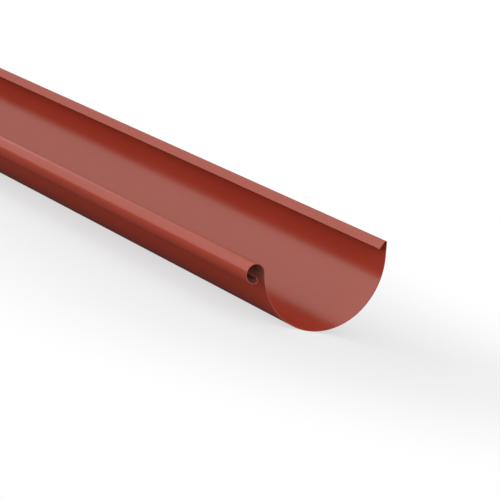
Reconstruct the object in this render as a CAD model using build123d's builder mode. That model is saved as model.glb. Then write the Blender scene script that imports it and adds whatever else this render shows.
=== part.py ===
from build123d import *
import math
import os

# One length of half round gutter, rolled from a single painted steel sheet.
# X runs along the gutter, the bead is on the -Y side, the folded rear edge on the +Y side, +Z is up.
# The gutter lies as it balances on a level floor, turned about its long axis until its centre of
# mass is straight below the axis of the half round. The origin is the middle of the space it covers.
# Millimetres and degrees.

# Stock
stock_length = 3000.0
sheet_thickness = 0.7

# Half round trough
trough_inner_diameter = 150.0

# Front edge: a short upright wall, then the bead, rolled outward, with its lip turned up inside it
front_wall_rise = 1.0
bead_diameter = 22.0
bead_sweep = 270.0
lip_outer_radius = 3.0
lip_sweep = 110.0
lip_flat_width = 3.0

# Rear edge: a flat wall that leans out a little, then a fold that slopes down into the trough
rear_wall_lean = 5.0
rear_edge_height = 11.3
rear_bend_inner_radius = 1.2
fold_slope = 47.0
fold_flat_width = 9.6

# Worked out from the sizes above
trough_radius = trough_inner_diameter / 2
bead_radius = bead_diameter / 2
lean_sine = math.sin(math.radians(rear_wall_lean))
lean_cosine = math.cos(math.radians(rear_wall_lean))
rear_wall_top = rear_edge_height - sheet_thickness - rear_bend_inner_radius * (1 + lean_sine)
rear_wall_width = (rear_wall_top + trough_radius * lean_sine) / lean_cosine
rear_bend_sweep = 90 + fold_slope + rear_wall_lean

# The section as it hangs under the eaves, with Y across the page and Z up it, and with the axis of
# the half round at (0, 0). The line is the face that the water touches, carried on round the outside
# of the bead and the underside of the fold. The metal lies behind it.
with BuildSketch() as hung_section:
    with BuildLine() as wet_face:
        half_round = CenterArc((0, 0), trough_radius, 180, 180 - rear_wall_lean)
        front_wall = Line(half_round @ 0, half_round @ 0 + Vector(0, front_wall_rise))
        bead = JernArc(front_wall @ 1, front_wall % 1, bead_radius, bead_sweep)
        lip = JernArc(bead @ 1, bead % 1, lip_outer_radius, lip_sweep)
        lip_flat = PolarLine(lip @ 1, lip_flat_width, direction=lip % 1)
        rear_wall = PolarLine(half_round @ 1, rear_wall_width, direction=half_round % 1)
        rear_bend = JernArc(rear_wall @ 1, rear_wall % 1, rear_bend_inner_radius, rear_bend_sweep)
        fold = PolarLine(rear_bend @ 1, fold_flat_width, direction=rear_bend % 1)
        offset(amount=sheet_thickness, side=Side.LEFT)
    make_face()

# Balance: the turn that brings the centre of area straight below the axis of the half round
centre_of_area = hung_section.face().center(CenterOf.MASS)
rest_tilt = math.degrees(math.atan2(-centre_of_area.X, -centre_of_area.Y))

# The section as it lies: turned, then moved until it stands on the floor, centred on the origin
resting_box = hung_section.face().rotate(Axis.Z, rest_tilt).bounding_box()
section_axis = Vector(0, -resting_box.center().X, -resting_box.min.Y)
across = Vector(0, 1, 0).rotate(Axis.X, rest_tilt)
resting_plane = Plane(origin=section_axis, x_dir=across, z_dir=(1, 0, 0))

with BuildPart() as gutter:
    with BuildSketch(resting_plane):
        add(hung_section.sketch_local)
    extrude(amount=stock_length / 2, both=True)
gutter.part.label = "gutter"

os.makedirs("parts", exist_ok=True)
export_step(gutter.part, "parts/gutter.step")
print("rest tilt", round(rest_tilt, 3))
print("axis of the half round", section_axis)
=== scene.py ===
"""Looks of a half round gutter section: the coated sheet, the stage, the light and the camera.

Metres and degrees, in the CAD frame: X along the gutter, the bead on the -Y side, +Z up.
"""

import math

import bpy
from mathutils import Matrix, Vector


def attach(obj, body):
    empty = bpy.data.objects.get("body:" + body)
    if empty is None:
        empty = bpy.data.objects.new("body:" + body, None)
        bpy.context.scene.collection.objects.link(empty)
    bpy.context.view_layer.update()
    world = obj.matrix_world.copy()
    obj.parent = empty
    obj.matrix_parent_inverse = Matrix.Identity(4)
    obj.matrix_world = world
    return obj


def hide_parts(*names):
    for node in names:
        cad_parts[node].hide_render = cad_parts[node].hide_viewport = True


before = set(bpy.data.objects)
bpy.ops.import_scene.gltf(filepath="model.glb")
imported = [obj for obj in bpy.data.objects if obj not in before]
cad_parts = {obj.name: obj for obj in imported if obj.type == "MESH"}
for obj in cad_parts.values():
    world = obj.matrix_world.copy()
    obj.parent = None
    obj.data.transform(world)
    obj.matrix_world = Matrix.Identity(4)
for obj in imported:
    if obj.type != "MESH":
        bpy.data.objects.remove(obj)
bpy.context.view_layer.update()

# Sizes of the sheet
stock_length = 3.0
sheet_thickness = 0.0007
trough_radius = 0.075
front_wall_rise = 0.001
bead_radius = 0.011
bead_sweep = 270.0
lip_outer_radius = 0.003
lip_sweep = 110.0
lip_flat_width = 0.003
rear_wall_lean = 5.0
rear_edge_height = 0.0113
rear_bend_inner_radius = 0.0012
fold_slope = 47.0
fold_flat_width = 0.0096
rear_bend_sweep = 90 + fold_slope + rear_wall_lean

# Rounding left by slitting the strip and by cutting the length
slit_edge_radius = 0.00016
cut_edge_radius = 0.0001

# How finely the sheet is meshed: degrees to a step, steps to a flat or a corner, metres between stations
half_round_step = 2.5
bead_step = 5.0
lip_step = 9.0
bend_step = 9.0
flat_steps = 4
corner_steps = 3
station_spacing = 0.05

# Points nearer than this are one point
same_point = 1e-7


# The section
def turned(angle):
    """Unit vector at this many degrees from +Y towards +Z."""
    return Vector((math.cos(math.radians(angle)), math.sin(math.radians(angle))))


def arc(centre, radius, start, sweep, step, side):
    """Wet-face points on an arc, each with the direction into the metal (side +1 is outward)."""
    count = max(2, math.ceil(abs(sweep) / step))
    rows = []
    for i in range(count + 1):
        spoke = turned(start + sweep * i / count)
        rows.append((centre + spoke * radius, spoke * side))
    return rows


def flat(point, into_metal, onward, width):
    """Wet-face points along a flat that goes on from this point."""
    return [(point + onward * width * i / flat_steps, into_metal) for i in range(1, flat_steps + 1)]


def wet_face():
    """The face the water touches, from the lip in the bead to the tip of the rear fold.

    The axis of the half round is at (0, 0) and the gutter hangs level, as under the eaves.
    """
    bead_centre = Vector((-trough_radius - bead_radius, front_wall_rise))
    lip_centre = bead_centre + turned(bead_sweep) * (bead_radius - lip_outer_radius)
    lip = arc(lip_centre, lip_outer_radius, bead_sweep + lip_sweep, -lip_sweep, lip_step, -1)
    up_the_lip = turned(bead_sweep + lip_sweep + 90)
    lip_flat = flat(*lip[0], up_the_lip, lip_flat_width)[::-1]
    bead = arc(bead_centre, bead_radius, bead_sweep, -bead_sweep, bead_step, -1)
    half_round = arc(Vector((0, 0)), trough_radius, 180, 180 - rear_wall_lean, half_round_step, 1)
    outward = turned(-rear_wall_lean)
    up_the_wall = turned(90 - rear_wall_lean)
    lean_cosine = math.cos(math.radians(rear_wall_lean))
    bend_height = rear_edge_height - sheet_thickness - rear_bend_inner_radius
    bend_reach = trough_radius - rear_bend_inner_radius
    bend_centre = outward * bend_reach
    bend_centre += up_the_wall * (bend_height - bend_centre.y) / lean_cosine
    bend = arc(bend_centre, rear_bend_inner_radius, -rear_wall_lean, rear_bend_sweep, bend_step, 1)
    fold = flat(*bend[-1], turned(180 + fold_slope), fold_flat_width)
    rows = []
    for run in (lip_flat, lip, bead, half_round, bend, fold):
        for point, into_metal in run:
            if not rows or (rows[-1][0] - point).length > same_point:
                rows.append((point, into_metal))
    return rows


def slit_edge(point, into_metal, onward):
    """Points round a free edge of the strip, from the wet face to the back, with inward directions."""
    r = slit_edge_radius
    rows = []
    for depth, first, second in ((r, -into_metal, onward), (sheet_thickness - r, onward, into_metal)):
        centre = point - onward * r + into_metal * depth
        for i in range(corner_steps + 1):
            a = math.radians(90 * i / corner_steps)
            spoke = first * math.cos(a) + second * math.sin(a)
            rows.append((centre + spoke * r, -spoke))
    return rows


def closed_section():
    """The outline of the cut sheet in four runs: the wet face, the fold's edge, the back, the lip's edge.

    Each run lists its points with the direction inward from each.
    """
    wet = wet_face()
    past_lip = (wet[0][0] - wet[1][0]).normalized()
    past_fold = (wet[-1][0] - wet[-2][0]).normalized()
    at_lip = slit_edge(*wet[0], past_lip)
    at_fold = slit_edge(*wet[-1], past_fold)
    inner = wet[1:-1]
    back = [(point + into_metal * sheet_thickness, -into_metal) for point, into_metal in reversed(inner)]
    return inner, at_fold, back, at_lip[::-1]


def centre_of_area(loop):
    """The centroid of the area inside a closed outline."""
    area, cy, cz = 0.0, 0.0, 0.0
    for (y0, z0), (y1, z1) in zip(loop, loop[1:] + loop[:1]):
        cross = y0 * z1 - y1 * z0
        area += cross / 2
        cy += (y0 + y1) * cross / 6
        cz += (z0 + z1) * cross / 6
    return cy / area, cz / area


wet_run, fold_edge, back_run, lip_edge = closed_section()
section = wet_run + fold_edge + back_run + lip_edge
fold_start = len(wet_run)
back_start = fold_start + len(fold_edge)
lip_start = back_start + len(back_run)

# Balance: the gutter lies turned until its centre of mass is straight below the half round's axis
balance_y, balance_z = centre_of_area([tuple(point) for point, inward in section])
rest_tilt = math.atan2(-balance_y, -balance_z)
tilt = Matrix.Rotation(rest_tilt, 2)
reaches = [(tilt @ point).x for point, inward in section]
axis_place = Vector((-(min(reaches) + max(reaches)) / 2, trough_radius + sheet_thickness))
bead_axis = tilt @ Vector((-trough_radius - bead_radius, front_wall_rise)) + axis_place

# The sheet's material slots, in the order in which its materials are added
coat_slot = 0
cut_slot = 1
hollow_slot = 2


# The sheet's mesh
def stations():
    """Places along X that repeat the section, each with the lean of the surface there towards the end."""
    half = stock_length / 2
    r = cut_edge_radius
    leans = [90 * i / corner_steps for i in range(corner_steps + 1)]
    straight = stock_length - 2 * r
    spans = round(straight / station_spacing)
    rows = [(-half + r - r * math.sin(math.radians(a)), -a) for a in reversed(leans)]
    rows += [(-half + r + straight * i / spans, 0.0) for i in range(1, spans)]
    rows += [(half - r + r * math.sin(math.radians(a)), a) for a in leans]
    return rows


def in_the_bead(i):
    """Whether this point of the section is on the sheet's back and above the underside of the bead."""
    y, z = section[i][0]
    return i >= back_start and y < 0 and z > front_wall_rise - bead_radius


def slot_along(i, j):
    """The material slot of the faces between these two neighbours of the section, along the sheet."""
    if fold_start <= i < back_start - 1 or lip_start <= i < len(section) - 1:
        return cut_slot
    # The back in the bead's hollow and just below it takes the coat with painted shade in its colour
    if in_the_bead(i) and in_the_bead(j):
        return hollow_slot
    return coat_slot


def end_faces():
    """The faces that close one end, as points of the section: one strip, then the two slit edges."""
    rings = [(i, i + 1, lip_start - i - 2, lip_start - i - 1) for i in range(fold_start - 1)]
    rings.append(tuple(range(fold_start - 1, back_start + 1)))
    rings.append(tuple(range(lip_start - 1, len(section))) + (0,))
    return rings


def build_sheet():
    """The section swept along X, with its cut ends rounded and every normal exact."""
    rows = stations()
    vertices, normals = [], []
    for x, lean in rows:
        across = math.cos(math.radians(lean))
        along = math.sin(math.radians(lean))
        for point, inward in section:
            y, z = tilt @ (point + inward * cut_edge_radius * (1 - across)) + axis_place
            vertices.append((x, y, z))
            ny, nz = tilt @ -inward
            normals.append((along, ny * across, nz * across))

    count = len(section)
    faces, slots, corners = [], [], []
    for s in range(len(rows) - 1):
        rounding = rows[s][1] != rows[s + 1][1]
        for i in range(count):
            j = (i + 1) % count
            face = (s * count + j, s * count + i, (s + 1) * count + i, (s + 1) * count + j)
            faces.append(face)
            corners += [normals[v] for v in face]
            slots.append(cut_slot if rounding else slot_along(i, j))
    for first, facing in ((0, -1.0), ((len(rows) - 1) * count, 1.0)):
        for ring in end_faces():
            face = tuple(first + v for v in (ring if facing < 0 else ring[::-1]))
            faces.append(face)
            corners += [(facing, 0.0, 0.0)] * len(face)
            slots.append(cut_slot)

    mesh = bpy.data.meshes.new("gutter_sheet")
    mesh.from_pydata(vertices, [], faces)
    mesh.polygons.foreach_set("material_index", slots)
    mesh.polygons.foreach_set("use_smooth", [True] * len(faces))
    mesh.normals_split_custom_set(corners)
    mesh.update()
    piece = bpy.data.objects.new("gutter_sheet", mesh)
    bpy.context.scene.collection.objects.link(piece)
    return piece


# Materials
white = (1.0, 1.0, 1.0, 1.0)

# The part of a noise's range that most of it lies in
noise_low = 0.3
noise_high = 0.7

# Places of the colour sockets on a Mix node, which has one set of sockets for each type
mix_first = 6
mix_second = 7
mix_result = 2


class Nodes:
    """A short way to write the nodes of a material or of the world."""

    def __init__(self, owner):
        owner.use_nodes = True
        self.tree = owner.node_tree
        self.tree.nodes.clear()

    def add(self, kind, inputs=(), **settings):
        node = self.tree.nodes.new(kind)
        for key, value in settings.items():
            setattr(node, key, value)
        for key, value in dict(inputs).items():
            self.put(node.inputs[key], value)
        return node

    def put(self, socket, value):
        if isinstance(value, bpy.types.NodeSocket):
            self.tree.links.new(value, socket)
        else:
            socket.default_value = value

    def place(self):
        """The place on the object, in metres."""
        return self.add("ShaderNodeTexCoord").outputs["Object"]

    def math(self, operation, *values):
        node = self.add("ShaderNodeMath", operation=operation)
        for socket, value in zip(node.inputs, values):
            self.put(socket, value)
        return node.outputs["Value"]

    def vector(self, operation, *values, output="Vector"):
        return self.add("ShaderNodeVectorMath", enumerate(values), operation=operation).outputs[output]

    def range(self, value, low, high, to_low, to_high, smooth=False):
        inputs = {"Value": value, "From Min": low, "From Max": high, "To Min": to_low, "To Max": to_high}
        kind = "SMOOTHSTEP" if smooth else "LINEAR"
        return self.add("ShaderNodeMapRange", inputs, interpolation_type=kind).outputs["Result"]

    def swing(self, noise, middle, spread):
        """A number that follows a noise, up to this spread either side of its middle."""
        return self.range(noise, noise_low, noise_high, middle - spread, middle + spread)

    def noise(self, vector, scale=1.0, detail=2.0, roughness=0.5):
        inputs = {"Vector": vector, "Scale": scale, "Detail": detail, "Roughness": roughness}
        return self.add("ShaderNodeTexNoise", inputs, noise_dimensions="3D").outputs["Fac"]

    def scaled(self, vector, x, y, z):
        return self.add("ShaderNodeMapping", {"Vector": vector, "Scale": (x, y, z)}).outputs["Vector"]

    def bump(self, height, distance, below=None):
        """A normal with this bump, on top of the bumps below."""
        inputs = {"Height": height, "Distance": distance, "Strength": 1.0}
        if below is not None:
            inputs["Normal"] = below
        return self.add("ShaderNodeBump", inputs).outputs["Normal"]

    def blend(self, share, first, second):
        """A colour that goes from the first to the second as the share goes from 0 to 1."""
        inputs = {"Factor": share, mix_first: (*first, 1.0), mix_second: (*second, 1.0)}
        return self.add("ShaderNodeMix", inputs, data_type="RGBA").outputs[mix_result]

    def tinted(self, colour, factor):
        """A colour made lighter or darker by a number that varies over the surface."""
        inputs = {0: colour, "Scale": factor}
        return self.add("ShaderNodeVectorMath", inputs, operation="SCALE").outputs["Vector"]


# The coat, and its sheen
coat_colour = (0.303, 0.035, 0.018)
coat_roughness = 0.22
sheen_ior = 4.0
sheen_tint = (0.070, 0.070, 0.064, 1.0)

# The coat in the bead's hollow, with a darker, browner colour there that is painted shade, and how far from
# the bead's axis it has turned to the colour outside
hollow_shade_colour = (0.24, 0.070, 0.052)
hollow_roughness = 0.6
shade_reach = 0.0145

# Patterns in the coat: roughly how many there are to the metre
clouds_per_metre = 9.0
streaks_along = 1.2
streaks_across = 260.0
grains_per_metre = 2600.0
peels_per_metre = 420.0

# How far the patterns change the coat's colour, as a share, and its roughness
cloud_shade = 0.025
streak_shade = 0.015
grain_shade = 0.03
cloud_dullness = 0.01
streak_dullness = 0.02

# How high the patterns stand
streak_height = 0.00001
peel_height = 0.000007
grain_height = 0.0000015

# The cut edge, with the coat's colour dragged over the steel in places
cut_colour = (0.34, 0.062, 0.046)
steel_colour = (0.34, 0.20, 0.17)
steel_share = 0.3
steel_from = 0.45
steel_to = 0.72
drag_scale = (300.0, 900.0, 2500.0)
drag_height = 0.00002
cut_roughness = 0.525
cut_dullness = 0.075
cut_ior = 1.5
cut_gloss = 0.3


def coated_steel(name, base_roughness, inside_shade_colour=None):
    """Coil coating on steel, with a fine orange peel and faint marks of the rolls.

    With an inside colour, the coat is painted that colour inside the bead as painted shade, and turns to its
    own beyond the bead.
    """
    material = bpy.data.materials.new(name)
    n = Nodes(material)
    at = n.place()
    colour = coat_colour
    # Painted shade: inside the bead's hollow the colour is the darker, browner inside colour, turning to the
    # coat's own colour away from the bead's axis
    if inside_shade_colour:
        from_bead = n.vector("SUBTRACT", at, (0.0, *bead_axis))
        across = n.vector("MULTIPLY", from_bead, (0.0, 1.0, 1.0))
        distance = n.vector("LENGTH", across, output="Value")
        outside = n.range(distance, bead_radius, shade_reach, 0.0, 1.0)
        colour = n.blend(outside, inside_shade_colour, coat_colour)
    cloud = n.noise(at, clouds_per_metre, detail=3.0)
    streaks = n.noise(n.scaled(at, streaks_along, streaks_across, streaks_across), detail=3.0, roughness=0.6)
    grain = n.noise(at, grains_per_metre, detail=1.0)
    peel = n.noise(at, peels_per_metre, detail=2.0)

    value = n.swing(cloud, 1.0, cloud_shade)
    value = n.math("MULTIPLY", value, n.swing(streaks, 1.0, streak_shade))
    value = n.math("MULTIPLY", value, n.swing(grain, 1.0, grain_shade))
    rough = n.math("ADD", n.swing(streaks, 0.0, streak_dullness), n.swing(cloud, 0.0, cloud_dullness))
    rough = n.math("ADD", rough, base_roughness)

    normal = n.bump(streaks, streak_height)
    normal = n.bump(peel, peel_height, normal)
    normal = n.bump(grain, grain_height, normal)
    shader = n.add("ShaderNodeBsdfPrincipled", {
        "Base Color": n.tinted(colour, value),
        "Roughness": rough,
        "Normal": normal,
        "Metallic": 0.0,
        "IOR": sheen_ior,
        "Specular Tint": sheen_tint,
    })
    n.add("ShaderNodeOutputMaterial", {"Surface": shader.outputs[0]})
    return material


def cut_edge():
    """Cut edge of the coated sheet: dull, with the coat dragged over the steel."""
    material = bpy.data.materials.new("cut_edge")
    n = Nodes(material)
    drag = n.noise(n.scaled(n.place(), *drag_scale), detail=2.0, roughness=0.6)
    bare = n.range(drag, steel_from, steel_to, 0.0, steel_share)
    shader = n.add("ShaderNodeBsdfPrincipled", {
        "Base Color": n.blend(bare, cut_colour, steel_colour),
        "Roughness": n.swing(drag, cut_roughness, cut_dullness),
        "Normal": n.bump(drag, drag_height),
        "Metallic": 0.0,
        "IOR": cut_ior,
        "Specular IOR Level": cut_gloss,
    })
    n.add("ShaderNodeOutputMaterial", {"Surface": shader.outputs[0]})
    return material


sheet = build_sheet()
sheet.data.materials.append(coated_steel("painted_sheet", coat_roughness))
sheet.data.materials.append(cut_edge())
# The coat in and just below the bead's hollow, with painted shade in its colour
sheet.data.materials.append(coated_steel("bead_inside", hollow_roughness, hollow_shade_colour))
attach(sheet, "root")
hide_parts("gutter")

# Stage
floor_reach = 60.0
floor_colour = (0.58, 0.58, 0.58, 1.0)

# How far from the gutter's middle line the floor starts to turn white, and where it is all white
plain_floor_reach = 0.06
white_floor_reach = 0.55

# How white the camera sees it where it is plainest
least_white = 0.65


def seen_by(n):
    """Two switches: 1 for camera rays, and 1 for glossy and transmission rays."""
    path = n.add("ShaderNodeLightPath")
    mirrored = n.math("MAXIMUM", path.outputs["Is Glossy Ray"], path.outputs["Is Transmission Ray"])
    return path.outputs["Is Camera Ray"], mirrored


def floor_material():
    """Pale floor that keeps the gutter's shadow and turns white further out.

    The camera sees it partly white even near the gutter. Reflections show it plain there. The light that
    it gives the gutter is a plain floor's, all over.
    """
    material = bpy.data.materials.new("pale_floor")
    n = Nodes(material)
    at = n.add("ShaderNodeSeparateXYZ", {"Vector": n.place()})
    past_middle = n.math("ABSOLUTE", at.outputs["X"])
    past_end = n.math("MAXIMUM", n.math("SUBTRACT", past_middle, stock_length / 2), 0.0)
    offset = n.add("ShaderNodeCombineXYZ", {"X": past_end, "Y": at.outputs["Y"], "Z": 0.0})
    away = n.vector("LENGTH", offset.outputs["Vector"], output="Value")
    far = n.range(away, plain_floor_reach, white_floor_reach, 0.0, 1.0, smooth=True)
    in_camera, in_mirror = seen_by(n)
    white_in_camera = n.math("MULTIPLY", in_camera, n.range(far, 0.0, 1.0, least_white, 1.0))
    white_share = n.math("ADD", white_in_camera, n.math("MULTIPLY", in_mirror, far))
    plain = n.add("ShaderNodeBsdfDiffuse", {"Color": floor_colour})
    glow = n.add("ShaderNodeEmission", {"Color": white, "Strength": 1.0})
    mix = n.add("ShaderNodeMixShader", {0: white_share, 1: plain.outputs[0], 2: glow.outputs[0]})
    n.add("ShaderNodeOutputMaterial", {"Surface": mix.outputs[0]})
    return material


def build_floor():
    """One flat face, far wider than any view."""
    r = floor_reach
    mesh = bpy.data.meshes.new("floor")
    mesh.from_pydata([(-r, -r, 0), (r, -r, 0), (r, r, 0), (-r, r, 0)], [], [(0, 1, 2, 3)])
    mesh.update()
    mesh.materials.append(floor_material())
    ground = bpy.data.objects.new("floor", mesh)
    bpy.context.scene.collection.objects.link(ground)
    return ground


floor = build_floor()

# Light

# A lamp of this many watts to the square metre shows at a strength of 1
watts_per_radiance = 4.0

# The world's strength as a light. The camera and reflections see it at 1, which is white
dome_strength = 0.5


def softbox(name, place, aim, width, height, radiance):
    """A rectangular lamp at this place, facing the point it aims at."""
    lamp = bpy.data.lights.new(name, "AREA")
    lamp.shape = "RECTANGLE"
    lamp.size = width
    lamp.size_y = height
    lamp.energy = radiance * watts_per_radiance * width * height
    box = bpy.data.objects.new(name, lamp)
    box.location = place
    box.rotation_mode = "QUATERNION"
    box.rotation_quaternion = (Vector(aim) - Vector(place)).to_track_quat("-Z", "Y")
    box.visible_camera = False
    bpy.context.scene.collection.objects.link(box)


def studio_world():
    """An even white dome, dimmer as a light than the camera and reflections see it."""
    world = bpy.data.worlds.new("studio")
    n = Nodes(world)
    strength = n.range(n.math("ADD", *seen_by(n)), 0.0, 1.0, dome_strength, 1.0)
    sky = n.add("ShaderNodeBackground", {"Color": white, "Strength": strength})
    n.add("ShaderNodeOutputWorld", {"Surface": sky.outputs[0]})
    return world


softbox("front", place=(0.5, -4.0, 0.95), aim=(0.5, 0.0, 0.05), width=7.0, height=1.6, radiance=1.2)
softbox("near_end", place=(4.5, -1.5, 1.6), aim=(1.2, 0.0, 0.05), width=3.0, height=2.4, radiance=2.2)
softbox("overhead", place=(0.6, 0.3, 3.2), aim=(0.6, 0.3, 0.0), width=4.0, height=2.6, radiance=0.25)
softbox("beyond_the_far_end", place=(-6.0, -3.0, 3.55), aim=(1.2, -3.0, 3.0), width=11.2, height=7.0,
        radiance=2.10)
bpy.context.scene.world = studio_world()

# Camera

# The gutter is seen as it hangs, with its walls upright. The camera turns with it as it lies
view_azimuth = math.radians(59.036)
view_elevation = math.radians(17.180)
view_distance = 2.7240
aim_from_end = -0.0774
aim_from_axis = -0.0461
nearest_seen = 0.05
furthest_seen = 300.0

# The lens and the film, in millimetres
view_lens = 184.8
sensor_width = 36.0

level_back = Vector((
    math.sin(view_azimuth) * math.cos(view_elevation),
    -math.cos(view_azimuth) * math.cos(view_elevation),
    math.sin(view_elevation),
))
level_right = Vector((math.cos(view_azimuth), math.sin(view_azimuth), 0.0))
lie = Matrix.Rotation(rest_tilt, 3, "X")
back = lie @ level_back
right = lie @ level_right
up = back.cross(right)
end_of_axis = Vector((stock_length / 2, axis_place.x, axis_place.y))
aim_from_there = Vector((aim_from_end, aim_from_axis, 0.0))
camera_place = end_of_axis + lie @ (aim_from_there + level_back * view_distance)

camera_data = bpy.data.cameras.new("camera")
camera_data.lens = view_lens
camera_data.sensor_width = sensor_width
camera_data.clip_start = nearest_seen
camera_data.clip_end = furthest_seen
camera = bpy.data.objects.new("camera", camera_data)
camera.matrix_world = Matrix.Translation(camera_place) @ Matrix((right, up, back)).transposed().to_4x4()
bpy.context.scene.collection.objects.link(camera)
bpy.context.scene.camera = camera

bpy.context.scene.view_settings.view_transform = "Standard"

bpy.context.view_layer.update()
